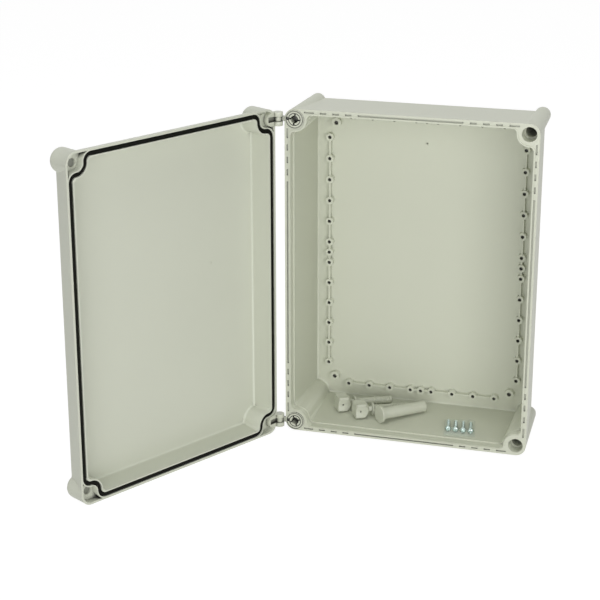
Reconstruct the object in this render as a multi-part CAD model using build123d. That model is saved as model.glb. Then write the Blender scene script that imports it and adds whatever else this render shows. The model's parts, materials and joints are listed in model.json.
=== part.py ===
"""Hinged polycarbonate wall enclosure, lid open, with its loose fittings lying inside.

Millimetres. +Z up, +X right as seen from the front, the open side faces -Y.
The origin is the centre of the wall-fixing pattern on the back face.
Outlines are drawn as seen from the front; depths run from the base's rim into the base,
so whatever stands in front of the rim, as the closed lid does, has a negative depth.
"""

from build123d import *
import math
import os

# Base: a deep tray with a corner pillar at each wall-fixing screw
fixing_x = 256.0
fixing_z = 356.0
fixing_hole_r = 3.0
base_depth = 100.0
pillar_r = 11.5
pillar_back_r = 8.6
pillar_end_round = 4.5
base_back_round = 5.5
side_wall_lean = 9.0
end_wall_lean = 8.2
back_thick = 3.5
seat_bore_r = 8.2
seat_bore_deep = 14.0
screw_bore_r = 6.2
screw_bore_deep = 70.0

# Rim: a tongue wraps round the pillars, a ledge steps in below it
tongue_reach = 6.3
tongue_wrap_r = 12.6
tongue_turn_r = 6.0
tongue_thick = 1.3
tongue_high = 1.2
mouth_land = 0.55
ledge_deep = 10.5
ledge_wide = 1.2
inner_lean = 3.2
inner_start = 0.4
pillar_wall_r = 14.3
inner_turn_r = 7.0
floor_round = 2.0

# Coring slots in the rim's outer land
slot_line = 8.2
slot_wide = 1.8
slot_deep = 1.6
slot_long = 7.0
slot_gap = 7.0
end_slot_from = 10.7
end_slot_long = 10.8
short_slots = 3

# Bosses on the back panel, 25 mm pitch, with two 12.5 mm ones at the middle of each row
boss_pitch = 25.0
boss_inset_x = 15.5
boss_inset_z = 15.5
boss_high = 6.8
boss_r = 4.5
boss_hole_r = 2.05
boss_hole_deep = 6.0
side_boss_steps = 5
end_boss_steps = 3
rib_thick = 2.2
rib_drop = 1.2
plate_inset_x = 23.0
plate_inset_z = 23.0
plate_boss_r = 5.5
plate_hole_r = 2.5

# Lid: a shallow tray that oversails the base a little
lid_over = 1.5
rim_gap = 0.3
lid_depth = 29.7
lid_lean = 8.0
lid_thick = 4.0
lid_face_round = 7.0
lid_pillar_round = 6.0
lid_inner_side_lean = 2.9
lid_inner_end_lean = 1.6
lid_inner_round = 2.5
lip_thick = 1.3
lid_wall = 2.2
pocket_wall = 1.3
head_recess_r = 9.3
lid_web = 4.0
lid_pocket_deep = 8.0
lid_hole_r = 4.6

# Seal in the lid's channel
seal_offset = 1.5
seal_wide = 5.0
channel_wide = 5.1
channel_deep = 4.6
seal_clear = 0.3

# Hinges: a plug in the base's corner bore, a fork in the lid's corner pocket, a pin
lid_open = 119.5
hinge_out = 18.3
hinge_front = 1.2
pin_r = 1.5
pin_fit = 0.05
plug_fit = 0.1
running_gap = 0.25
flange_r = 10.6
flange_high = 1.2
flange_ring_r = 9.0
flange_groove = 0.7
plug_wall = 1.3
plug_floor = 1.5
eye_r = 3.6
eye_high = 5.4
arm_thick = 3.4
knuckle_r = 5.3
fork_high = 15.2
fork_end = 1.5
fork_slot_end = 2.7
fork_slot_out = 0.5
fork_plate_r = 6.9
fork_plate_thick = 2.0
fork_spigot_out = 1.5
lock_slot_wide = 1.8
lock_socket_r = 4.4
lock_turn = 12.0

# Cover screw: four-winged head with a hole across it for a sealing wire, neck, flange, shaft
cover_screw_long = 68.0
cover_head = 17.5
cover_head_long = 17.5
cover_head_waist = 1.2
cover_head_edge = 2.0
cover_head_taper = 6.0
cover_head_corner = 2.5
cover_hole_r = 1.0
cover_hole_from = 7.2
cover_neck_r = 3.2
cover_neck_long = 3.4
cover_flange_r = 7.2
cover_flange_long = 2.0
cover_shaft_r = 4.2
cover_thread_r = 4.8
cover_thread_long = 24.0
tip_chamfer = 1.0

# Long plug: a disc and a slightly tapered stem
plug_disc_r = 10.0
plug_disc_long = 3.0
plug_stem_r = 6.9
plug_stem_tip_r = 6.5
plug_long = 62.0
plug_stem_round = 1.0

# Mounting-plate screws in their film bag
plate_screw_head_r = 3.7
plate_screw_head_long = 2.6
plate_screw_r = 2.0
plate_screw_long = 29.0
plate_screw_pitch = 8.7
plate_screw_chamfer = 1.0
plate_screws = 4
film = 0.3
bag_wide = 36.0
bag_long = 42.0
bag_clear = 0.35
bag_round = 2.0

# Where the loose fittings lie: x, distance behind the rim or in front of the back panel, and
# heading in degrees from straight back; the cover screws lie left of the plug and behind its disc
lie_gap = 0.3
cover_screw_1_left = 55.4
cover_screw_1_behind = 18.2
cover_screw_2_left = 30.9
cover_screw_2_behind = 5.2
cover_screw_heading = -57.1
long_plug_x = -35.2
long_plug_front = 68.9
long_plug_heading = -46.0
plate_screw_x = 47.3
plate_screw_back = 20.8
plate_screw_heading = 9.6
bag_x = 61.4
bag_back = 14.9

# Worked out from the above
corner_x = fixing_x / 2
corner_z = fixing_z / 2
corners = [(sx * corner_x, sz * corner_z) for sx in (-1, 1) for sz in (-1, 1)]
rim_x = corner_x + pillar_r
rim_z = corner_z + pillar_r
tongue_x = corner_x + tongue_reach
tongue_z = corner_z + tongue_reach
floor_deep = base_depth - back_thick
mouth_in = tongue_thick / 2 + mouth_land
wall_in = mouth_in + ledge_wide
lid_x = rim_x + lid_over
lid_z = rim_z + lid_over
lid_corner_r = lid_x - corner_x
lid_rim = -rim_gap
lid_face = lid_rim - lid_depth
lid_panel = lid_face + lid_thick
hinge_x = -(corner_x + hinge_out)
hinge_y = -base_depth - hinge_front


def seen_from_front(depth):
    """Drawing plane parallel to the rim, at a depth behind it."""
    return Plane(origin=(0, depth - base_depth, 0), x_dir=(1, 0, 0), z_dir=(0, -1, 0))


def prism(outline, near, far):
    """Straight block between two depths."""
    return extrude(seen_from_front(far) * outline, far - near)


def leaning_block(half_x, half_z, lean_x, lean_z, full, small):
    """Block with flat leaning walls: full size at one depth, set in by the lean at another."""
    end_x, end_z = 2 * half_x - lean_x, 2 * half_z - lean_z
    block = Wedge(2 * half_x, abs(small - full), 2 * half_z, lean_x, lean_z, end_x, end_z)
    if small < full:
        block = Rot(0, 0, 180) * block
    return Pos(0, (full + small) / 2 - base_depth, 0) * block


def wall_corners(block):
    """The four edges between a leaning block's walls."""
    return block.edges().filter_by(lambda edge: abs(edge.tangent_at(0.5).Y) > 0.5)


def rod(x, z, r, near, far):
    return prism(Pos(x, z) * Circle(r), near, far)


def back_edges(block):
    return block.faces().sort_by(Axis.Y)[-1].edges()


def front_edges(block):
    return block.faces().sort_by(Axis.Y)[0].edges()


def waist_outline(half_x, half_z, turn_r, wrap_r):
    """Outline that follows the walls and wraps round the four corner pillars."""
    reach_x = corner_x - (half_x - turn_r)
    reach_z = corner_z - (half_z - turn_r)
    turn_z = corner_z - math.sqrt((wrap_r + turn_r) ** 2 - reach_x**2)
    turn_x = corner_x - math.sqrt((wrap_r + turn_r) ** 2 - reach_z**2)
    side_turn = math.degrees(math.atan2(corner_z - turn_z, reach_x))
    end_turn = math.degrees(math.atan2(reach_z, corner_x - turn_x))
    side_centre, end_centre = (half_x - turn_r, turn_z), (turn_x, half_z - turn_r)
    quarter = [
        Line((half_x, 0), (half_x, turn_z)),
        CenterArc(side_centre, turn_r, 0, side_turn),
        CenterArc((corner_x, corner_z), wrap_r, 180 + side_turn, end_turn - side_turn),
        CenterArc(end_centre, turn_r, end_turn, 90 - end_turn),
        Line((turn_x, half_z), (0, half_z)),
    ]
    half = quarter + [edge.mirror(Plane.YZ) for edge in quarter]
    return make_face(half + [edge.mirror(Plane.XZ) for edge in half])


def rim_outline(outward):
    """The tongue's own centre line, set outward or, if negative, inward."""
    turn_r, wrap_r = tongue_turn_r + outward, tongue_wrap_r - outward
    return waist_outline(tongue_x + outward, tongue_z + outward, turn_r, wrap_r)


def base_body():
    body = leaning_block(rim_x, rim_z, side_wall_lean, end_wall_lean, 0, base_depth)
    body = fillet(wall_corners(body), pillar_r)
    body = fillet(back_edges(body), base_back_round)
    pillar = Rot(-90, 0, 0) * Cone(pillar_r, pillar_back_r, base_depth)
    pillar = fillet(back_edges(pillar), pillar_end_round)
    return body + [Pos(x, -base_depth / 2, z) * pillar for x, z in corners]


def tray(wall_in, wrap_r, lean_x, lean_z, full, small):
    """Inside of a shell, its four walls leaning and its corner pillars straight."""
    half_x, half_z = tongue_x - wall_in, tongue_z - wall_in
    near, far = min(full, small), max(full, small)
    upright = prism(waist_outline(half_x, half_z, inner_turn_r, wrap_r), near, far)
    half_x, half_z = half_x - inner_start, half_z - inner_start
    return upright & leaning_block(half_x, half_z, lean_x, lean_z, full, small)


def base_cavity():
    mouth = prism(rim_outline(-mouth_in), 0, ledge_deep)
    hollow = tray(wall_in, pillar_wall_r, inner_lean, inner_lean, ledge_deep, floor_deep)
    return mouth + fillet(back_edges(hollow), floor_round)


def slot_spans(corner):
    """Start and end of each slot along one wall, from the middle out to one corner."""
    spans = [(corner - end_slot_from - end_slot_long, corner - end_slot_from)]
    for _ in range(short_slots):
        end = spans[-1][0] - slot_gap
        spans.append((end - slot_long, end))
    half_long = spans[-1][0] - slot_gap
    mirrored = [(-end, -start) for start, end in spans]
    return spans + mirrored + [(-half_long, half_long)]


def rim_slots():
    slots = []
    for side in (-1, 1):
        for start, end in slot_spans(corner_x):
            place = Pos((start + end) / 2, side * (corner_z + slot_line))
            slots.append(prism(place * Rectangle(end - start, slot_wide), 0, slot_deep))
        for start, end in slot_spans(corner_z):
            place = Pos(side * (corner_x + slot_line), (start + end) / 2)
            slots.append(prism(place * Rectangle(slot_wide, end - start), 0, slot_deep))
    return slots


def boss_rows():
    """Distances along a row: pairs at every pitch from half a pitch out, and the middle three."""
    def row(steps):
        out = [boss_pitch / 2 + boss_pitch * step for step in range(steps + 1)]
        return sorted([-d for d in out] + [0.0] + out)

    column_x, row_z = corner_x - boss_inset_x, corner_z - boss_inset_z
    columns = [(sx * column_x, z) for sx in (-1, 1) for z in row(side_boss_steps)]
    rows = [(x, sz * row_z) for sz in (-1, 1) for x in row(end_boss_steps)]
    return columns, rows


def panel_bosses():
    """Bosses and ribs as one list of blocks, and the holes to drill in them."""
    top = floor_deep - boss_high
    columns, rows = boss_rows()
    plate_x, plate_z = corner_x - plate_inset_x, corner_z - plate_inset_z
    plate = [(sx * plate_x, sz * plate_z) for sx in (-1, 1) for sz in (-1, 1)]
    small = columns + rows
    blocks = [rod(x, z, boss_r, top, floor_deep + 1) for x, z in small]
    blocks += [rod(x, z, plate_boss_r, top, floor_deep + 1) for x, z in plate]
    column_x, column_z = columns[-1]
    row_x, row_z = rows[-1]
    for side in (-1, 1):
        upright = Pos(side * column_x, 0) * Rectangle(rib_thick, 2 * column_z)
        level = Pos(0, side * row_z) * Rectangle(2 * row_x, rib_thick)
        blocks += [prism(rib, top + rib_drop, floor_deep + 1) for rib in (upright, level)]
    holes = [rod(x, z, boss_hole_r, top, top + boss_hole_deep) for x, z in small]
    holes += [rod(x, z, plate_hole_r, top, top + boss_hole_deep) for x, z in plate]
    return blocks, holes


def corner_bores():
    bores = []
    for x, z in corners:
        bores.append(rod(x, z, seat_bore_r, 0, seat_bore_deep))
        bores.append(rod(x, z, screw_bore_r, 0, screw_bore_deep))
        bores.append(rod(x, z, fixing_hole_r, 0, base_depth))
    return bores


def hinge_arm_notches():
    """Gaps in the base's hinge-side wall that the hinge arms leave through."""
    high = eye_high + 2 * plug_fit
    mid_x = -(corner_x + rim_x) / 2
    place = [Pos(mid_x, sz * corner_z) for sz in (-1, 1)]
    deep = arm_thick + plug_fit
    return [prism(p * Rectangle(rim_x - corner_x + 2, high), 0, deep) for p in place]


def base_shell():
    shell = base_body() - base_cavity()
    ring = rim_outline(tongue_thick / 2) - rim_outline(-tongue_thick / 2)
    blocks, holes = panel_bosses()
    shell = shell + prism(ring, -tongue_high, 0) + blocks
    return shell - holes - corner_bores() - rim_slots() - hinge_arm_notches()


def lid_body():
    """The lid as it lies when closed."""
    body = leaning_block(lid_x, lid_z, lid_lean, lid_lean, lid_rim, lid_face)
    body = fillet(wall_corners(body), lid_corner_r)
    body = fillet(front_edges(body), lid_face_round)
    pillar = rod(0, 0, lid_corner_r, lid_face, lid_rim)
    pillar = fillet(front_edges(pillar), lid_pillar_round)
    return body + [Pos(x, 0, z) * pillar for x, z in corners]


def lid_cavity():
    lip_in = channel_wide / 2 + lip_thick - seal_offset
    wrap_r = tongue_wrap_r + lip_in
    hollow = tray(lip_in, wrap_r, lid_inner_side_lean, lid_inner_end_lean, lid_rim, lid_panel)
    return fillet(front_edges(hollow), lid_inner_round)


def lid_pockets():
    """Hollows between the seal channel and the lid's outer corners."""
    inside_r = lid_corner_r - lid_wall
    inside = RectangleRounded(2 * (lid_x - lid_wall), 2 * (lid_z - lid_wall), inside_r)
    kept = rim_outline(seal_offset + channel_wide / 2 + pocket_wall)
    return prism(inside - kept, lid_rim - lid_pocket_deep, lid_rim)


def lid_corner_holes():
    """Web hole and deep head recess on each corner axis, and room for the hinge flanges."""
    web_end = lid_rim - lid_pocket_deep - lid_web
    holes = []
    for x, z in corners:
        holes.append(rod(x, z, lid_hole_r, web_end, lid_rim))
        holes.append(rod(x, z, head_recess_r, lid_face, web_end))
        if x < 0:
            flange_room = -(flange_high + running_gap)
            holes.append(rod(x, z, flange_r + running_gap, flange_room, lid_rim))
    return holes


def fork_notches():
    """Gaps in the lid's hinge-side wall for the forks."""
    near = -(hinge_front + knuckle_r + plug_fit)
    high = fork_high + 2 * plug_fit
    mid_x = -(corner_x + lid_x) / 2
    place = [Pos(mid_x, sz * corner_z) for sz in (-1, 1)]
    return [prism(p * Rectangle(lid_x - corner_x + 1, high), near, lid_rim) for p in place]


def opened(piece):
    """Swing a piece of the closed lid about the hinge line to where it stands at rest."""
    hinge_line = Axis((hinge_x, hinge_y, 0), (0, 0, 1))
    return piece.rotate(hinge_line, -lid_open)


def channel_ring(width, near, far):
    ring = rim_outline(seal_offset + width / 2) - rim_outline(seal_offset - width / 2)
    return prism(ring, near, far)


def lid_shell():
    shell = lid_body() - lid_cavity() - channel_ring(channel_wide, lid_rim - channel_deep, lid_rim)
    shell = shell - lid_pockets() - lid_corner_holes() - fork_notches()
    return opened(shell)


def lid_gasket():
    """Seal, its crown clear of the closed tongue."""
    crown = -(tongue_high + seal_clear)
    floor = lid_rim - channel_deep + (channel_wide - seal_wide) / 2
    return opened(channel_ring(seal_wide, floor, crown))


def hinge_base(side):
    """Plug for the base's corner bore, with its flange, arm and eye. side is 1 for the top."""
    x, z = -corner_x, side * corner_z
    body = rod(x, z, seat_bore_r - plug_fit, 0, seat_bore_deep - plug_fit)
    body += rod(x, z, flange_r, -flange_high, 0)
    groove = Circle(flange_ring_r + flange_groove / 2) - Circle(flange_ring_r - flange_groove / 2)
    body -= prism(Pos(x, z) * groove, -flange_high, -flange_high / 2)
    arm = Rectangle(-corner_x - hinge_x, eye_high)
    arm = prism(Pos((hinge_x - corner_x) / 2, z) * arm, 0, arm_thick)
    body += arm
    low = z - eye_high / 2
    eye = Pos(hinge_x, hinge_y, low) * extrude(Circle(eye_r), eye_high)
    body += eye
    socket = rod(x, z, seat_bore_r - plug_fit - plug_wall, -flange_high, seat_bore_deep - plug_floor)
    bore = Pos(hinge_x, hinge_y, low) * extrude(Circle(pin_r + pin_fit), eye_high)
    return body - socket - bore


def hinge_lock(side):
    """Quarter-turn insert in the plug, with a four-slot socket."""
    x, z = -corner_x, side * corner_z
    outer_r = seat_bore_r - plug_fit - plug_wall - plug_fit
    ring = Circle(outer_r) - Circle(lock_socket_r)
    for turn in (0, 90):
        ring -= Rot(0, 0, turn + lock_turn) * Rectangle(2 * outer_r - 1.2, lock_slot_wide)
    deep = seat_bore_deep - plug_floor - plug_fit
    body = prism(Pos(x, z) * ring, -flange_high, deep)
    return body + rod(x, z, outer_r, deep - plug_floor, deep)


def hinge_fork(side):
    """Lid leaf: two cheeks that hold the pin, and a plate and spigot in the lid's pocket."""
    x, z = -corner_x, side * corner_z
    low = z - fork_high / 2
    outer, inner = -(hinge_front + knuckle_r), -(flange_high + running_gap)
    end_x = x - fork_end
    round_x = end_x - fork_high / 2
    outline = Pos((round_x + hinge_x) / 2, z) * Rectangle(round_x - hinge_x, fork_high)
    outline += Pos(round_x, z) * Circle(fork_high / 2)
    body = prism(outline, outer, inner)
    body += Pos(hinge_x, hinge_y, low) * extrude(Circle(knuckle_r), fork_high)
    pocket_end = lid_rim - lid_pocket_deep
    body += rod(x, z, fork_plate_r, pocket_end + plug_fit, pocket_end + plug_fit + fork_plate_thick)
    spigot_end = pocket_end - lid_web - fork_spigot_out
    body += rod(x, z, lid_hole_r - plug_fit, spigot_end, pocket_end + fork_plate_thick)
    slot_high = eye_high + 2 * running_gap
    blind_x, slot_x = hinge_x + fork_slot_out, end_x - fork_slot_end
    blind = Pos((blind_x + slot_x) / 2, z) * Rectangle(slot_x - blind_x, slot_high)
    open_x = hinge_x - 2 * knuckle_r
    gap = Pos((open_x + blind_x) / 2, z) * Rectangle(blind_x - open_x, slot_high)
    slot_floor = -(hinge_front + eye_r + running_gap)
    body = body - prism(blind, slot_floor, knuckle_r) - prism(gap, outer, knuckle_r)
    bore = Pos(hinge_x, hinge_y, low) * extrude(Circle(pin_r + pin_fit), fork_high)
    return opened(body - bore)


def hinge_pin(side):
    low = side * corner_z - fork_high / 2
    return Pos(hinge_x, hinge_y, low) * extrude(Circle(pin_r), fork_high)


def lathe(profile):
    """Turn a profile of (radius, distance) corners about the piece's own axis, +Y."""
    return revolve(make_face(Polyline(profile, close=True)), Axis.Y)


def cover_screw():
    """Head at the origin, tip along +Y."""
    side, edge = cover_head / 2, cover_head_edge
    bow = side - cover_head_waist
    edges = []
    for turn in range(4):
        spin = Rot(0, 0, 90 * turn)
        edges.append(spin * ThreePointArc((side, edge - side), (bow, 0), (side, side - edge)))
        edges.append(spin * Line((side, side - edge), (side - edge, side)))
    head = extrude(Plane.XZ * make_face(edges), -cover_head_long)
    shoulder = cover_head_long - cover_head_taper
    outer = side + cover_head_corner
    cap = [(0, 0), (side, 0), (outer, cover_head_corner), (outer, shoulder)]
    cap += [(0.75 * side, cover_head_long), (0, cover_head_long)]
    head &= lathe(cap)
    across = Pos(0, cover_hole_from, 0) * Rot(0, 90, 0) * Cylinder(cover_hole_r, 2 * cover_head)
    neck_end = cover_head_long + cover_neck_long
    flange_end = neck_end + cover_flange_long
    thread_from = cover_screw_long - cover_thread_long
    profile = [(0, cover_head_long), (cover_neck_r, cover_head_long), (cover_neck_r, neck_end)]
    profile += [(cover_flange_r, neck_end), (cover_flange_r, flange_end)]
    profile += [(cover_shaft_r, flange_end), (cover_shaft_r, thread_from)]
    profile += [(cover_thread_r, thread_from), (cover_thread_r, cover_screw_long - tip_chamfer)]
    profile += [(cover_thread_r - tip_chamfer, cover_screw_long), (0, cover_screw_long)]
    return head - across + lathe(profile)


def long_plug():
    stem_from = (plug_stem_r, plug_disc_long)
    profile = [(0, 0), (plug_disc_r, 0), (plug_disc_r, plug_disc_long), stem_from]
    profile += [(plug_stem_tip_r, plug_long - plug_stem_round)]
    profile += [(plug_stem_tip_r - plug_stem_round, plug_long), (0, plug_long)]
    return lathe(profile)


def plate_screw():
    head, edge = plate_screw_head_long, plate_screw_chamfer
    profile = [(0, 0), (plate_screw_head_r - edge, 0), (plate_screw_head_r, edge)]
    profile += [(plate_screw_head_r, head), (plate_screw_r, head)]
    profile += [(plate_screw_r, plate_screw_long - edge), (plate_screw_r - edge, plate_screw_long)]
    return lathe(profile + [(0, plate_screw_long)])


def lower_wall(x, depth):
    """Frame on the base's inner lower wall: +Y runs back along it, +Z stands on it."""
    lean = math.atan2(inner_lean, floor_deep - ledge_deep)
    wall_z = -(tongue_z - wall_in - inner_start) + (depth - ledge_deep) * math.tan(lean)
    return Plane(origin=(x, depth - base_depth, wall_z), x_dir=(1, 0, 0),
                 z_dir=(0, -math.sin(lean), math.cos(lean)))


def laid(piece, place, head_r, head_long, tip_r, length, gap=lie_gap):
    """Lay a headed piece on the lower wall, touching at the back of its head and its tip."""
    x, depth, heading = place
    dip = math.atan2(head_r - tip_r, length - head_long)
    lift = gap + head_r * math.cos(dip) + head_long * math.sin(dip)
    tilt = Rot(-math.degrees(dip), 0, 0)
    return lower_wall(x, depth) * Rot(0, 0, heading) * Pos(0, 0, lift) * tilt * piece


def laid_plate_screw(number):
    x = plate_screw_x + number * plate_screw_pitch
    place = (x, plate_screw_back, plate_screw_heading)
    gap = lie_gap + film + bag_clear
    head_r, head_long = plate_screw_head_r, plate_screw_head_long
    return laid(plate_screw(), place, head_r, head_long, plate_screw_r, plate_screw_long, gap)


def laid_cover_screw(left, behind):
    depth = floor_deep - long_plug_front + behind
    place = (long_plug_x - left, depth, cover_screw_heading)
    tip_r = cover_thread_r
    return laid(cover_screw(), place, cover_head / 2, cover_head_long, tip_r, cover_screw_long)


def laid_long_plug():
    place = (long_plug_x, floor_deep - long_plug_front, long_plug_heading)
    disc_r, disc_long = plug_disc_r, plug_disc_long
    return laid(long_plug(), place, disc_r, disc_long, plug_stem_tip_r, plug_long)


def screw_bag():
    """Flat film pouch round the plate screws, open at its far end."""
    inner_high = 2 * (plate_screw_head_r + bag_clear)
    across = Plane.XZ * Pos(0, lie_gap + film + inner_high / 2)
    outer = RectangleRounded(bag_wide, inner_high + 2 * film, bag_round + film)
    inner = RectangleRounded(bag_wide - 2 * film, inner_high, bag_round)
    pouch = extrude(across * outer, -bag_long)
    pouch -= Pos(0, film, 0) * extrude(across * inner, -bag_long)
    return lower_wall(bag_x, bag_back) * Rot(0, 0, plate_screw_heading) * pouch


pieces = {
    "base_shell": base_shell(),
    "lid_shell": lid_shell(),
    "lid_gasket": lid_gasket(),
    "long_plug": laid_long_plug(),
    "screw_bag": screw_bag(),
}
for name, side in (("top", 1), ("bottom", -1)):
    pieces["hinge_base_" + name] = hinge_base(side)
    pieces["hinge_lock_" + name] = hinge_lock(side)
    pieces["hinge_fork_" + name] = hinge_fork(side)
    pieces["hinge_pin_" + name] = hinge_pin(side)
pieces["cover_screw_1"] = laid_cover_screw(cover_screw_1_left, cover_screw_1_behind)
pieces["cover_screw_2"] = laid_cover_screw(cover_screw_2_left, cover_screw_2_behind)
for number in range(plate_screws):
    pieces["plate_screw_" + str(number + 1)] = laid_plate_screw(number)

os.makedirs("parts", exist_ok=True)
for name, piece in pieces.items():
    piece.label = name
    export_step(piece, "parts/" + name + ".step")
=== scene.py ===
"""Dresses the hinged wall enclosure: lid open on the left, loose fittings lying in the base."""

import bmesh
import bpy
import json
import math
from mathutils import Matrix, Vector


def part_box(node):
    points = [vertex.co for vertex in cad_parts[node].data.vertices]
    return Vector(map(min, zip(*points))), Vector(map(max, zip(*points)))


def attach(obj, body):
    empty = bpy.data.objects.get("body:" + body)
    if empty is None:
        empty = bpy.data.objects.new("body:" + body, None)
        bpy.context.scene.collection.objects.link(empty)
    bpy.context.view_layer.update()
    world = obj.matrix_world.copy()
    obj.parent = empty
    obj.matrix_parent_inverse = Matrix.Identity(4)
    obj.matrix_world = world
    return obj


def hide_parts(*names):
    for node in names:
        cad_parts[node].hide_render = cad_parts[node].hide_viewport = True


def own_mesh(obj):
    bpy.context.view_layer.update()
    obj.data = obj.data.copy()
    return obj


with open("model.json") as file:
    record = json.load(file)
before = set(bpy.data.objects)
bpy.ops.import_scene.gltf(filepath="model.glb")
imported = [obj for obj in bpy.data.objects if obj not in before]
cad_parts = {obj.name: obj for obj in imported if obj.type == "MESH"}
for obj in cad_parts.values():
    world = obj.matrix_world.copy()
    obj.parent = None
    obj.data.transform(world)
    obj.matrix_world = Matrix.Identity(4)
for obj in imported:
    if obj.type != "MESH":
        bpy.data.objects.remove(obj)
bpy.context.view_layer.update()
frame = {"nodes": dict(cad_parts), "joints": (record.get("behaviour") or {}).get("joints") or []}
nodes = frame["nodes"]

# Camera
# A long lens on a full-frame back, right of the enclosure and above it, as a catalogue picture is taken.
camera_place = (0.3697, -1.8044, 0.5978)
camera_down, camera_left, camera_roll = 19.476, 16.074, 0.061
camera = bpy.data.objects.new("camera", bpy.data.cameras.new("camera"))
camera.location = camera_place
camera.rotation_euler = [math.radians(a) for a in (90 - camera_down, camera_roll, camera_left)]
camera.data.sensor_width = 36.0
camera.data.lens = 100.24
camera.data.clip_end = 50.0
bpy.context.scene.collection.objects.link(camera)
bpy.context.scene.camera = camera
bpy.context.scene.view_settings.view_transform = "Standard"


# Studio
# A white paper floor under soft light: a dim white room, a key lamp right of the camera, a low one beside it
# and one above. The floor glows to the camera only, and keeps the enclosure's soft shadow.
def linear(hex_code):
    """An sRGB colour such as "c6c9b6" as the linear RGBA that a shader takes."""
    parts = [int(hex_code[i:i + 2], 16) / 255 for i in (0, 2, 4)]
    return [c / 12.92 if c <= 0.04045 else ((c + 0.055) / 1.055) ** 2.4 for c in parts] + [1.0]


def add_node(tree, kind, settings=None, **links):
    """Add a node; settings are its properties or input values, links are input name to socket."""
    node = tree.nodes.new(kind)
    for name, value in (settings or {}).items():
        if isinstance(name, str) and hasattr(node, name):
            setattr(node, name, value)
        else:
            node.inputs[name].default_value = value
    for name, socket in links.items():
        key = int(name[1:]) if name[1:].isdigit() else name.replace("_", " ")
        tree.links.new(socket, node.inputs[key])
    return node


def empty_material(name):
    """A new material without nodes, and its node tree."""
    material = bpy.data.materials.new(name)
    material.use_nodes = True
    material.node_tree.nodes.clear()
    return material, material.node_tree


world = bpy.data.worlds.new("white_room")
bpy.context.scene.world = world
world.use_nodes = True
world.node_tree.nodes.clear()
room = world.node_tree
room_light = 0.25
path = add_node(room, "ShaderNodeLightPath")
seen = add_node(room, "ShaderNodeMath", {"operation": "MAXIMUM"}, i0=path.outputs["Is Camera Ray"],
                i1=path.outputs["Is Glossy Ray"])
seen = add_node(room, "ShaderNodeMath", {"operation": "MAXIMUM"}, i0=seen.outputs[0],
                i1=path.outputs["Is Transmission Ray"])
dim = add_node(room, "ShaderNodeBackground", {"Color": (1, 1, 1, 1), "Strength": room_light})
bright = add_node(room, "ShaderNodeBackground", {"Color": (1, 1, 1, 1), "Strength": 1.0})
both = add_node(room, "ShaderNodeMixShader", i0=seen.outputs[0], i1=dim.outputs[0], i2=bright.outputs[0])
add_node(room, "ShaderNodeOutputWorld", Surface=both.outputs[0])


def softbox(name, place, target, size, watts):
    """A square lamp, turned to face its target."""
    lamp = bpy.data.objects.new(name, bpy.data.lights.new(name, "AREA"))
    lamp.data.shape = "SQUARE"
    lamp.data.size = size
    lamp.data.energy = watts
    lamp.location = place
    lamp.rotation_euler = (Vector(target) - Vector(place)).to_track_quat("-Z", "Y").to_euler()
    bpy.context.scene.collection.objects.link(lamp)


middle = (-0.08, -0.1, 0.0)
softbox("key_lamp", (1.2, -2.0, 0.5), middle, 1.2, 20.0)
softbox("low_lamp", (0.0, -2.2, 0.1), middle, 1.0, 12.0)
softbox("top_lamp", (-0.3, -0.3, 2.0), middle, 1.8, 20.0)

floor_gap, floor_half = 0.0005, 12.0
floor_glow, floor_shade = 0.94, 0.16
floor_level = min(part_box("lid_shell")[0].z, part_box("base_shell")[0].z) - floor_gap
floor_mesh = bpy.data.meshes.new("paper_floor")
floor_corners = [(-floor_half, -floor_half), (floor_half, -floor_half), (floor_half, floor_half),
                 (-floor_half, floor_half)]
floor_mesh.from_pydata([(x, y, floor_level) for x, y in floor_corners], [], [(0, 1, 2, 3)])
floor = bpy.data.objects.new("paper_floor", floor_mesh)
bpy.context.scene.collection.objects.link(floor)
paper, tree = empty_material("white_paper_floor")
path = add_node(tree, "ShaderNodeLightPath")
seen = add_node(tree, "ShaderNodeMath", {"operation": "MAXIMUM"}, i0=path.outputs["Is Camera Ray"],
                i1=path.outputs["Is Glossy Ray"])
matt = add_node(tree, "ShaderNodeBsdfDiffuse", {"Color": linear("f4f4f2")})
shaded = add_node(tree, "ShaderNodeBsdfDiffuse", {"Color": (floor_shade, floor_shade, floor_shade, 1)})
glow = add_node(tree, "ShaderNodeEmission", {"Color": (1, 1, 1, 1), "Strength": floor_glow})
lit = add_node(tree, "ShaderNodeAddShader", i0=shaded.outputs[0], i1=glow.outputs[0])
both = add_node(tree, "ShaderNodeMixShader", i0=seen.outputs[0], i1=matt.outputs[0], i2=lit.outputs[0])
add_node(tree, "ShaderNodeOutputMaterial", Surface=both.outputs[0])
floor_mesh.materials.append(paper)


# Base
# The deep tray, injection-moulded in light grey polycarbonate with the fine satin grain of an eroded mould.
# Dense and even, so it takes light like matt paint under a soft broad highlight; its edges are a little round.
# The grain is drawn coarser than it is, so that it shows.
facet_gap = 0.00001
polymer_ior = 1.585
cloud_mm, cloud_tone = 1000 / 9, 0.965


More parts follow.
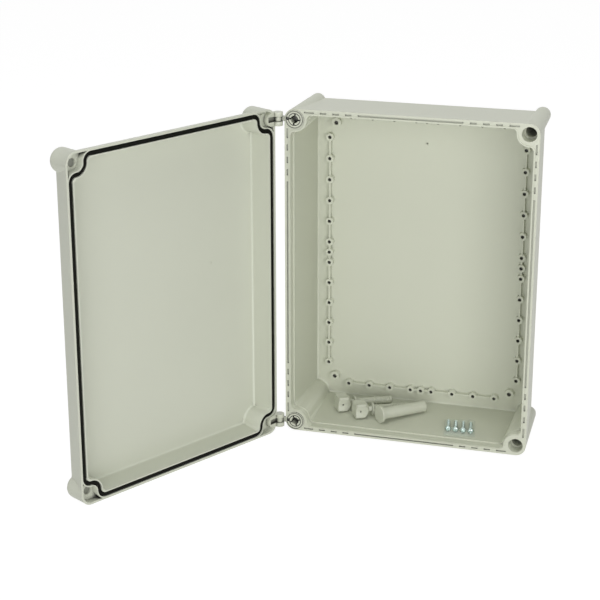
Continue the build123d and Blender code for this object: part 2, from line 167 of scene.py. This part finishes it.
def moulded_plastic(name, hex_code, roughness, grain_mm, grain_um, painted_hollow_shade, alone=True):
    """Satin plastic with painted shade: its base colour is darkened in narrow gaps, bores and corners, beyond
    the shade that soft lamps alone leave there.

    Each step of the painted shade is a reach in mm, the darkest tone, and how open a place is where it is
    darkest and where clear.
    """
    material, tree = empty_material(name)
    place = add_node(tree, "ShaderNodeTexCoord")
    cloud = add_node(tree, "ShaderNodeTexNoise", {"Scale": 1000 / cloud_mm, "Detail": 3.0},
                     Vector=place.outputs["Object"])
    tint = add_node(tree, "ShaderNodeMix", {"data_type": "RGBA"})
    tint.inputs["A"].default_value = linear(hex_code)
    tint.inputs["B"].default_value = [c * cloud_tone for c in linear(hex_code)[:3]] + [1.0]
    tree.links.new(cloud.outputs["Fac"], tint.inputs["Factor"])
    grain = add_node(tree, "ShaderNodeTexNoise", {"Scale": 1000.0 / grain_mm, "Detail": 2.0},
                     Vector=place.outputs["Object"])
    relief = add_node(tree, "ShaderNodeBump", {"Strength": 0.35, "Distance": grain_um / 1e6},
                      Height=grain.outputs["Fac"])
    shade = tint.outputs["Result"]
    # Painted shade: occlusion within each reach darkens the base colour. It counts the piece alone, or, when not
    # alone, the pieces round it too.
    for reach_mm, darkest, dark_at, clear_at in painted_hollow_shade:
        hollow = add_node(tree, "ShaderNodeAmbientOcclusion", {"samples": 8, "only_local": alone,
                                                               "Distance": reach_mm / 1000})
        tones = {"From Min": dark_at, "From Max": clear_at, "To Min": darkest}
        light = add_node(tree, "ShaderNodeMapRange", tones, Value=hollow.outputs["AO"])
        shaded = add_node(tree, "ShaderNodeMix", {"data_type": "RGBA", "blend_type": "MULTIPLY"})
        shaded.inputs["Factor"].default_value = 1.0
        tree.links.new(shade, shaded.inputs["A"])
        tree.links.new(light.outputs[0], shaded.inputs["B"])
        shade = shaded.outputs["Result"]
    skin = add_node(tree, "ShaderNodeBsdfPrincipled", {"Roughness": roughness, "IOR": polymer_ior})
    tree.links.new(shade, skin.inputs["Base Color"])
    tree.links.new(relief.outputs[0], skin.inputs["Normal"])
    add_node(tree, "ShaderNodeOutputMaterial", Surface=skin.outputs[0])
    return material


def finish_node(node, material):
    """Give a construction piece its finish."""
    piece = nodes[node]
    if not piece.material_slots:
        piece.data.materials.append(material)
    for slot in piece.material_slots:
        slot.material = material


def round_edges(piece, radius, least_bend=50):
    """Join a mesh's facets and round its edges, where they bend by more than these degrees."""
    weld = piece.modifiers.new("joined", "WELD")
    weld.merge_threshold = facet_gap
    bevel = piece.modifiers.new("round_edges", "BEVEL")
    bevel.width = radius
    bevel.segments = 2
    bevel.limit_method = "ANGLE"
    bevel.angle_limit = math.radians(least_bend)
    bevel.harden_normals = True


# Shade is painted into the base's colour in its slots, bores and inside corners, over a short reach and a long
# one.
base_painted_shade = ((2.0, 0.35, 0.08, 0.5), (14.0, 0.04, 0.08, 0.46))
base_plastic = moulded_plastic("satin_polycarbonate_base", "c9ccbb", 0.45, 1.2, 30.0, base_painted_shade)
shell_edge = 0.0004
finish_node("base_shell", base_plastic)
round_edges(nodes["base_shell"], shell_edge)

# Lid
# The shallow tray, moulded in the same polycarbonate, with the seal channel, the corner pockets and the deep
# recesses for the screw heads. The batch is a shade less yellow than the base's.
# The lid's colour takes the same painted shade, darkest deep in its pockets and screw-head recesses.
lid_painted_shade = ((2.0, 0.35, 0.08, 0.5), (14.0, 0.04, 0.27, 0.48))
lid_plastic = moulded_plastic("satin_polycarbonate_lid", "c9ccbd", 0.45, 1.2, 30.0, lid_painted_shade)
finish_node("lid_shell", lid_plastic)
round_edges(nodes["lid_shell"], shell_edge)


# Gate marks
# Where the melt entered each mould, a round mark is left near the middle of the panel: a low rim with a sunk
# middle, in the shell's own polycarbonate.
def turned(name, profile, steps=32):
    """Mesh of a profile of (radius, height) points turned about +Y, closed where it meets the axis."""
    shape = bmesh.new()
    rings = []
    for radius, height in profile:
        count = 1 if radius == 0 else steps
        turns = [2 * math.pi * step / steps for step in range(count)]
        rings.append([shape.verts.new((radius * math.cos(t), height, radius * math.sin(t))) for t in turns])
    for low, high in zip(rings, rings[1:]):
        for step in range(steps):
            after = (step + 1) % steps
            corners = [low[step % len(low)], low[after % len(low)],
                       high[after % len(high)], high[step % len(high)]]
            shape.faces.new(list(dict.fromkeys(corners)))
    bmesh.ops.recalc_face_normals(shape, faces=shape.faces)
    mesh = bpy.data.meshes.new(name)
    shape.to_mesh(mesh)
    shape.free()
    mesh.shade_smooth()
    return mesh


def add_piece(name, mesh, material, body, place=Matrix.Identity(4)):
    """A piece of the scene, put in its place and fixed to its body."""
    piece = bpy.data.objects.new(name, mesh)
    mesh.transform(place)
    mesh.materials.clear()
    mesh.materials.append(material)
    bpy.context.scene.collection.objects.link(piece)
    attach(piece, body)
    return piece


hinge_line = Vector(frame["joints"][0]["pos_m"])
lid_open = math.radians(119.5)
swing = Matrix.Rotation(-lid_open, 4, "Z")
opened = Matrix.Translation(hinge_line) @ swing @ Matrix.Translation(-hinge_line)
pip_r, pip_high, pip_root = 0.0022, 0.0003, 0.0002
pip = [(pip_r, pip_root), (pip_r * 0.85, -pip_high), (pip_r * 0.5, -pip_high), (pip_r * 0.4, 0), (0, 0)]
base_mark = (-0.0004, -0.0035, 0.1366)
lid_mark = (-0.067, -0.126, 0.0253)
add_piece("gate_mark_base", turned("gate_mark_base", pip), base_plastic, "base",
          Matrix.Translation(base_mark))
add_piece("gate_mark_lid", turned("gate_mark_lid", pip), lid_plastic, "lid",
          opened @ Matrix.Translation(lid_mark) @ Matrix.Rotation(math.pi, 4, "Z"))

# Seal
# Black polyurethane foam, poured into the lid's channel, where it sets with a round crown and a skin that drinks
# nearly all light. Closing the lid presses it on the base's tongue, so it flattens as the hinge turns home.
# The skin's cells are drawn coarser than they are, so that they show.
seal_mesh = nodes["lid_gasket"].data.copy()
seal_mesh.transform(opened.inverted())
heights = [vertex.co.y for vertex in seal_mesh.vertices]
channel_floor, pressed_crown = min(heights), max(heights)
seal_spring, seal_shoulder, crown_in = 0.0008, 0.0011, 0.0005
free_crown = pressed_crown + seal_spring
rise = (free_crown - channel_floor) / (pressed_crown - channel_floor)
shape = bmesh.new()
shape.from_mesh(seal_mesh)
bmesh.ops.remove_doubles(shape, verts=shape.verts, dist=facet_gap)
bmesh.ops.dissolve_limit(shape, angle_limit=math.radians(1), verts=shape.verts, edges=shape.edges)
shape.normal_update()
# Its sides lean in towards the crown, and the crown's edge is then rounded.
side_slope, crown_bend = 0.5, 1.0
sides = {v: sum((f.normal for f in v.link_faces if abs(f.normal.y) < side_slope), Vector())
         for v in shape.verts}
for vertex, side in sides.items():
    share = (vertex.co.y - channel_floor) / (pressed_crown - channel_floor)
    vertex.co -= side.normalized() * crown_in * share
    vertex.co.y = channel_floor + (vertex.co.y - channel_floor) * rise
crown_edges = [e for e in shape.edges if all(abs(v.co.y - free_crown) < facet_gap for v in e.verts)
               and len(e.link_faces) == 2 and e.calc_face_angle() > crown_bend]
bmesh.ops.bevel(shape, geom=crown_edges, offset=seal_shoulder, segments=3, profile=0.5, affect="EDGES")
shape.to_mesh(seal_mesh)
shape.free()
seal_mesh.shade_smooth()
foam, tree = empty_material("poured_foam_seal")
place = add_node(tree, "ShaderNodeTexCoord")
cell_mm = 0.6
cells = add_node(tree, "ShaderNodeTexNoise", {"Scale": 1000 / cell_mm, "Detail": 2.0},
                 Vector=place.outputs["Object"])
dents = add_node(tree, "ShaderNodeBump", {"Strength": 0.4, "Distance": 0.00005}, Height=cells.outputs["Fac"])
sheen = add_node(tree, "ShaderNodeMapRange", {"To Min": 0.55, "To Max": 0.75}, Value=cells.outputs["Fac"])
skin = add_node(tree, "ShaderNodeBsdfPrincipled", {"Base Color": linear("060702"), "Specular IOR Level": 0.12},
                Roughness=sheen.outputs[0], Normal=dents.outputs[0])
add_node(tree, "ShaderNodeOutputMaterial", Surface=skin.outputs[0])
seal = add_piece("foam_seal", seal_mesh, foam, "lid", opened)
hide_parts("lid_gasket")
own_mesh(seal)

# Hinges
# A plug in the base's bore, with a flange, a catch and an arm, and a forked leaf in the lid's pocket. They are
# moulded in glass-filled polyamide in the shells' grey, smoother and a little glossier than they are.
# Shade is painted into the leaves' and plugs' colour in their slots and grooves. The plugs' shade also counts
# the base and inserts round them, so it darkens where the parts meet.
leaf_painted_shade = ((2.0, 0.3, 0.1, 0.6), (8.0, 0.03, 0.42, 0.82))
leaf_plastic = moulded_plastic("smooth_polyamide_leaf", "c6c9b8", 0.36, 0.8, 10.0, leaf_painted_shade)
plug_painted_shade = ((2.0, 0.1, 0.12, 0.62), (8.0, 0.02, 0.36, 0.76))
plug_plastic = moulded_plastic("smooth_polyamide_plug", "c6c9b8", 0.36, 0.8, 10.0, plug_painted_shade, alone=False)
leaf_edge, plug_edge = 0.0003, 0.0002
for side in ("top", "bottom"):
    finish_node("hinge_fork_" + side, leaf_plastic)
    round_edges(nodes["hinge_fork_" + side], leaf_edge)


def minus(mesh, cutter):
    """Copy of a mesh with the cutter's volume taken away."""
    blank = bpy.data.objects.new("blank", mesh)
    tool = bpy.data.objects.new("cutter", cutter)
    bpy.context.scene.collection.objects.link(blank)
    bpy.context.scene.collection.objects.link(tool)
    cut = blank.modifiers.new("cut", "BOOLEAN")
    cut.operation, cut.object, cut.use_self = "DIFFERENCE", tool, True
    bpy.context.view_layer.update()
    result = bpy.data.meshes.new_from_object(blank.evaluated_get(bpy.context.evaluated_depsgraph_get()))
    bpy.data.objects.remove(blank)
    bpy.data.objects.remove(tool)
    return result


def welded(mesh):
    """Copy of a construction mesh with its facets joined."""
    shape = bmesh.new()
    shape.from_mesh(mesh)
    bmesh.ops.remove_doubles(shape, verts=shape.verts, dist=facet_gap)
    copy = bpy.data.meshes.new(mesh.name + "_copy")
    shape.to_mesh(copy)
    shape.free()
    return copy


def ring_groove(inner_r, outer_r, deep):
    """Cutter for a groove round +Y, as deep as this behind the plug's face."""
    front, end = plug_face - groove_over, plug_face + deep
    section = [(inner_r, front), (outer_r, front), (outer_r, end), (inner_r, end)]
    return welded(turned("groove", section + section[:1], 64))


plug_face, groove_over = -0.1012, 0.001
rim_groove, insert_groove = (0.0091, 0.00995, 0.00095), (0.0062, 0.0071, 0.0016)
catch_x, catch_z, catch_wide, catch_high, catch_deep = -0.0083, 0.0007, 0.0030, 0.0036, 0.0026
hinge_bores = {}
for side in ("top", "bottom"):
    low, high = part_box("hinge_lock_" + side)
    hinge_bores[side] = Matrix.Translation(((low.x + high.x) / 2, 0, (low.z + high.z) / 2))
    mesh = welded(nodes["hinge_base_" + side].data)
    for sizes in (rim_groove, insert_groove):
        groove = ring_groove(*sizes)
        groove.transform(hinge_bores[side])
        mesh = minus(mesh, groove)
    shape = bmesh.new()
    catch = Matrix.Translation((catch_x, plug_face, catch_z))
    bmesh.ops.create_cube(shape, size=1.0, matrix=hinge_bores[side] @ catch
                          @ Matrix.Diagonal((catch_wide, 2 * catch_deep, catch_high, 1)))
    catch_mesh = bpy.data.meshes.new("catch")
    shape.to_mesh(catch_mesh)
    shape.free()
    plug = add_piece("hinge_plug_" + side, minus(mesh, catch_mesh), plug_plastic, "base")
    round_edges(plug, plug_edge)
    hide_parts("hinge_base_" + side)

# Hinge inserts
# The insert that spreads the plug in its bore, with a socket that a driver turns by a quarter: moulded in the
# plug's polyamide. Each is left where the driver last turned it.
for side, turned_by in (("top", -20.0), ("bottom", 6.0)):
    groove = ring_groove(*insert_groove)
    groove.transform(hinge_bores[side])
    insert_mesh = minus(welded(nodes["hinge_lock_" + side].data), groove)
    turn = Matrix.Rotation(math.radians(-turned_by), 4, "Y")
    insert = add_piece("hinge_insert_" + side, insert_mesh, plug_plastic, "base",
                       hinge_bores[side] @ turn @ hinge_bores[side].inverted())
    round_edges(insert, plug_edge)
    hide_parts("hinge_lock_" + side)

# Hinge pins
# Drawn steel rod, cut to length and pressed through leaf and eye. The die leaves faint lines along it, drawn
# coarser than they are so that they show.
steel, tree = empty_material("drawn_steel")
place = add_node(tree, "ShaderNodeTexCoord")
line_mm = 0.3
squeeze = add_node(tree, "ShaderNodeMapping", {"Scale": (1.0, 1.0, 0.02)}, Vector=place.outputs["Object"])
lines = add_node(tree, "ShaderNodeTexNoise", {"Scale": 1000 / line_mm, "Detail": 3.0},
                 Vector=squeeze.outputs[0])
gloss = add_node(tree, "ShaderNodeMapRange", {"To Min": 0.22, "To Max": 0.4}, Value=lines.outputs["Fac"])
metal = add_node(tree, "ShaderNodeBsdfPrincipled", {"Base Color": linear("b9b9b4"), "Metallic": 1.0},
                 Roughness=gloss.outputs[0])
add_node(tree, "ShaderNodeOutputMaterial", Surface=metal.outputs[0])
for side in ("top", "bottom"):
    finish_node("hinge_pin_" + side, steel)


# Cover screws
# Two of the lid's plastic screws, lying loose in the base: a four-winged head with a hole across it for a
# sealing wire, and a coarse thread at the tip, all moulded in grey polyamide with a soft sheen.
base_rim = -0.1
wall_foot, wall_ledge, wall_drop, wall_deep = -0.1815, 0.0105, 0.0032, 0.086
wall_lean = math.atan2(wall_drop, wall_deep)
lie_gap = 0.0003
thread_root, thread_crest, thread_sunk = 0.4, 0.12, 0.0001


def lying(x, back, heading, head_r, head_long, tip_r, length, gap=lie_gap):
    """Place of a headed piece laid on the base's lower wall, head at the origin and tip along +Y."""
    foot = Vector((x, back + base_rim, wall_foot + (back - wall_ledge) * math.tan(wall_lean)))
    dip = math.atan2(head_r - tip_r, length - head_long)
    lift = gap + head_r * math.cos(dip) + head_long * math.sin(dip)
    wall = Matrix.Translation(foot) @ Matrix.Rotation(wall_lean, 4, "X")
    turn = Matrix.Rotation(math.radians(heading), 4, "Z")
    return wall @ turn @ Matrix.Translation((0, 0, lift)) @ Matrix.Rotation(-dip, 4, "X")


def thread(shape, root_r, crest_r, start, end, pitch, steps=20):
    """Add a helical ridge about +Y, which runs out into the shaft at both ends."""
    count = round((end - start) / pitch * steps)
    last = None
    for step in range(count + 1):
        turn = 2 * math.pi * step / steps
        run_out = min(1.0, 2.0 * min(step, count - step) / steps)
        crest = root_r + (crest_r - root_r) * run_out
        y = start + pitch * step / steps
        root = root_r - thread_sunk
        profile = [(-thread_root, root), (-thread_crest, crest), (thread_crest, crest), (thread_root, root)]
        ring = [shape.verts.new((r * math.cos(turn), y + part * pitch, r * math.sin(turn)))
                for part, r in profile]
        if last:
            for k in range(4):
                shape.faces.new((last[k], last[(k + 1) % 4], ring[(k + 1) % 4], ring[k]))
        else:
            shape.faces.new(ring)
        last = ring
    shape.faces.new(last[::-1])


cover_head_r, cover_head_long, cover_long = 0.00875, 0.0175, 0.068
cover_crest_r, cover_root_r, cover_thread_long, cover_pitch = 0.0048, 0.0040, 0.024, 0.0026
cover_places = {"cover_screw_1": (-0.0906, 0.0458), "cover_screw_2": (-0.0661, 0.0328)}
cover_heading = -57.1
# Their colour takes the base's painted shade in the wire hole, between the head's wings and in the thread.
screw_plastic = moulded_plastic("natural_grey_polyamide", "c4c7b7", 0.4, 0.8, 15.0, base_painted_shade)
cover_edge, screw_bend = 0.0005, 40
# Stations along the solid's head, each with the place that it is moved to: the rounding of the end is drawn in,
# and the hole across the head and the head's back come nearer to the end.
head_stops = [(0, 0), (0.0025, 0.0008), (0.0062, 0.0048), (0.0082, 0.0068), (0.0115, 0.0112),
              (0.0175, 0.0158), (0.0209, 0.0209)]
for name, (x, back) in cover_places.items():
    place = lying(x, back, cover_heading, cover_head_r, cover_head_long, cover_crest_r, cover_long)
    shape = bmesh.new()
    shape.from_mesh(nodes[name].data)
    shape.transform(place.inverted())
    bmesh.ops.remove_doubles(shape, verts=shape.verts, dist=facet_gap)
    thread_from = cover_long - cover_thread_long
    for vertex in shape.verts:
        out = math.hypot(vertex.co.x, vertex.co.z)
        if vertex.co.y > thread_from - thread_sunk and out > cover_root_r:
            vertex.co.x *= cover_root_r / out
            vertex.co.z *= cover_root_r / out
        for (near, near_to), (far, far_to) in zip(head_stops, head_stops[1:]):
            if near < vertex.co.y <= far:
                vertex.co.y = near_to + (far_to - near_to) * (vertex.co.y - near) / (far - near)
                break
    thread(shape, cover_root_r, cover_crest_r, thread_from, cover_long - cover_pitch / 2, cover_pitch)
    mesh = bpy.data.meshes.new(name + "_threaded")
    shape.to_mesh(mesh)
    shape.free()
    screw = add_piece(name + "_threaded", mesh, screw_plastic, "base", place)
    round_edges(screw, cover_edge, screw_bend)
    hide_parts(name)

# Long plug
# A plain disc on a long stem, moulded in the cover screws' polyamide. It closes the deep bore of a screw that
# isn't used.
long_plug_edge = 0.0004
# With the screws' finish, its colour takes painted shade where its stem meets the disc.
finish_node("long_plug", screw_plastic)
round_edges(nodes["long_plug"], long_plug_edge, screw_bend)

# Plate screws
# Four self-tapping screws for the mounting plate: pressed and rolled steel with a pan head, a cross recess and
# a bluish bright zinc plate, which gives a cool sharp sheen.
zinc, tree = empty_material("blue_bright_zinc_plate")
place = add_node(tree, "ShaderNodeTexCoord")
bloom_mm = 3.0
bloom = add_node(tree, "ShaderNodeTexNoise", {"Scale": 1000 / bloom_mm, "Detail": 4.0},
                 Vector=place.outputs["Object"])
tint = add_node(tree, "ShaderNodeMix", {"data_type": "RGBA"})
tint.inputs["A"].default_value = linear("9cb3b4")
tint.inputs["B"].default_value = linear("bfc8be")
tree.links.new(bloom.outputs["Fac"], tint.inputs["Factor"])
gloss = add_node(tree, "ShaderNodeMapRange", {"To Min": 0.1, "To Max": 0.26}, Value=bloom.outputs["Fac"])
metal = add_node(tree, "ShaderNodeBsdfPrincipled", {"Metallic": 1.0}, Roughness=gloss.outputs[0])
tree.links.new(tint.outputs["Result"], metal.inputs["Base Color"])
add_node(tree, "ShaderNodeOutputMaterial", Surface=metal.outputs[0])

plate_head_r, plate_head_long, plate_pan_long, plate_long = 0.0037, 0.0026, 0.0024, 0.029
plate_tip_long, plate_tip_r, plate_tip_end = 0.004, 0.0004, 0.0002
plate_thread_from, plate_thread_end = 0.0008, 0.003
plate_crest_r, plate_root_r, plate_pitch = 0.0020, 0.0016, 0.0014
recess_r, recess_wide, recess_deep = 0.0023, 0.0010, 0.0020
plate_x, plate_back, plate_heading, plate_apart = 0.0473, 0.0208, 9.6, 0.0087
first_turn, next_turn = 0.4, 0.9
film, bag_room = 0.0003, 0.00035
plate_gap = lie_gap + film + bag_room
pan = [(0, 0), (plate_head_r * 0.35, 0.00015), (plate_head_r * 0.62, 0.0005), (plate_head_r * 0.84, 0.0010),
       (plate_head_r * 0.96, 0.0016), (plate_head_r, 0.0021), (plate_head_r, plate_pan_long),
       (plate_root_r, plate_pan_long), (plate_root_r, plate_long - plate_tip_long),
       (plate_tip_r, plate_long - plate_tip_end), (0, plate_long)]
for number in range(4):
    name = "plate_screw_" + str(number + 1)
    place = lying(plate_x + number * plate_apart, plate_back, plate_heading, plate_head_r, plate_head_long,
                  plate_crest_r, plate_long, plate_gap)
    place = place @ Matrix.Rotation(first_turn + next_turn * number, 4, "Y")
    body_mesh = turned(name + "_body", pan, 40)
    shape = bmesh.new()
    for turn in (0, math.pi / 2):
        arm = Matrix.Rotation(turn, 4, "Y") @ Matrix.Diagonal((2 * recess_r, 2 * recess_deep, recess_wide, 1))
        bmesh.ops.create_cube(shape, size=1.0, matrix=arm)
    cross_mesh = bpy.data.meshes.new("cross")
    shape.to_mesh(cross_mesh)
    shape.free()
    shape = bmesh.new()
    shape.from_mesh(minus(body_mesh, cross_mesh))
    thread(shape, plate_root_r, plate_crest_r, plate_head_long + plate_thread_from,
           plate_long - plate_thread_end, plate_pitch, 12)
    mesh = bpy.data.meshes.new(name + "_zinc")
    shape.to_mesh(mesh)
    shape.free()
    screw = add_piece(name + "_zinc", mesh, zinc, "base", place)
    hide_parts(name)

# Screw bag
# A small flat pouch of thin clear polythene film round the four screws. It sags between them, its sides are
# heat-sealed, and it is pressed flat at its mouth. Glints and folds alone show it, and it throws no shadow.
bag_wide, bag_long, bag_x, bag_back = 0.0356, 0.0418, 0.0614, 0.0149
across_steps, along_steps = 48, 40
film_foot, film_weld = 0.00005, 0.00002
over_heads, over_tips, head_end = 0.0079, 0.0048, 0.006
ridge_apart, ridge_share, crease_high = 0.00858, 0.24, 0.0002
crease_one, crease_two = (310, 240), (190, -420)
side_seal, mouth_slope, foot_slope = 0.0028, 0.007, 0.004
bag_place = lying(bag_x, bag_back, plate_heading, 0.0, 0.0, 0.0, 1.0)


def bag_top(across, along):
    """Height of the film above its underside, from screw to screw."""
    down = min(1.0, max(0.0, (along - head_end) / plate_long))
    screw_top = over_heads - (over_heads - over_tips) * down
    ridge = 0.5 + 0.5 * math.cos(2 * math.pi * across / ridge_apart + math.pi)
    crease = (math.sin(crease_one[0] * along + crease_one[1] * across)
              * math.sin(crease_two[0] * along + crease_two[1] * across))
    sag = screw_top * (1 - ridge_share + ridge_share * ridge) + crease_high * crease
    edge = min(1.0, (bag_wide / 2 - abs(across)) / side_seal)
    mouth = min(1.0, along / foot_slope, (bag_long - along) / mouth_slope)
    rise = math.sin(math.pi / 2 * max(0.0, edge)) * math.sin(math.pi / 2 * max(0.0, mouth))
    return sag * rise


shape = bmesh.new()
for upper in (True, False):
    grid = []
    for i in range(along_steps + 1):
        along = bag_long * i / along_steps
        line = []
        for j in range(across_steps + 1):
            across = bag_wide * (j / across_steps - 0.5)
            high = film_foot + (bag_top(across, along) if upper else 0.0)
            line.append(shape.verts.new((across, along, high)))
        grid.append(line)
    for i in range(along_steps):
        for j in range(across_steps):
            corners = (grid[i][j], grid[i][j + 1], grid[i + 1][j + 1], grid[i + 1][j])
            shape.faces.new(corners if upper else corners[::-1])
bmesh.ops.remove_doubles(shape, verts=shape.verts, dist=film_weld)
bag_mesh = bpy.data.meshes.new("film_pouch")
shape.to_mesh(bag_mesh)
shape.free()
bag_mesh.shade_smooth()
polythene, tree = empty_material("clear_polythene_film")
place = add_node(tree, "ShaderNodeTexCoord")
crumple_mm = 6.0
crumple = add_node(tree, "ShaderNodeTexNoise", {"Scale": 1000 / crumple_mm, "Detail": 3.0, "Distortion": 1.5},
                   Vector=place.outputs["Object"])
folds = add_node(tree, "ShaderNodeBump", {"Strength": 0.6, "Distance": 0.0008}, Height=crumple.outputs["Fac"])
cloudy = add_node(tree, "ShaderNodeMapRange", {"To Min": 0.05, "To Max": 0.14}, Value=crumple.outputs["Fac"])
film_look = {"Base Color": linear("e2f0ea"), "Roughness": 0.12, "IOR": 1.51}
clear = add_node(tree, "ShaderNodeBsdfPrincipled", film_look, Alpha=cloudy.outputs[0], Normal=folds.outputs[0])
add_node(tree, "ShaderNodeOutputMaterial", Surface=clear.outputs[0])
bag = add_piece("film_pouch", bag_mesh, polythene, "base", bag_place)
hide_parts("screw_bag")
bag.visible_shadow = False
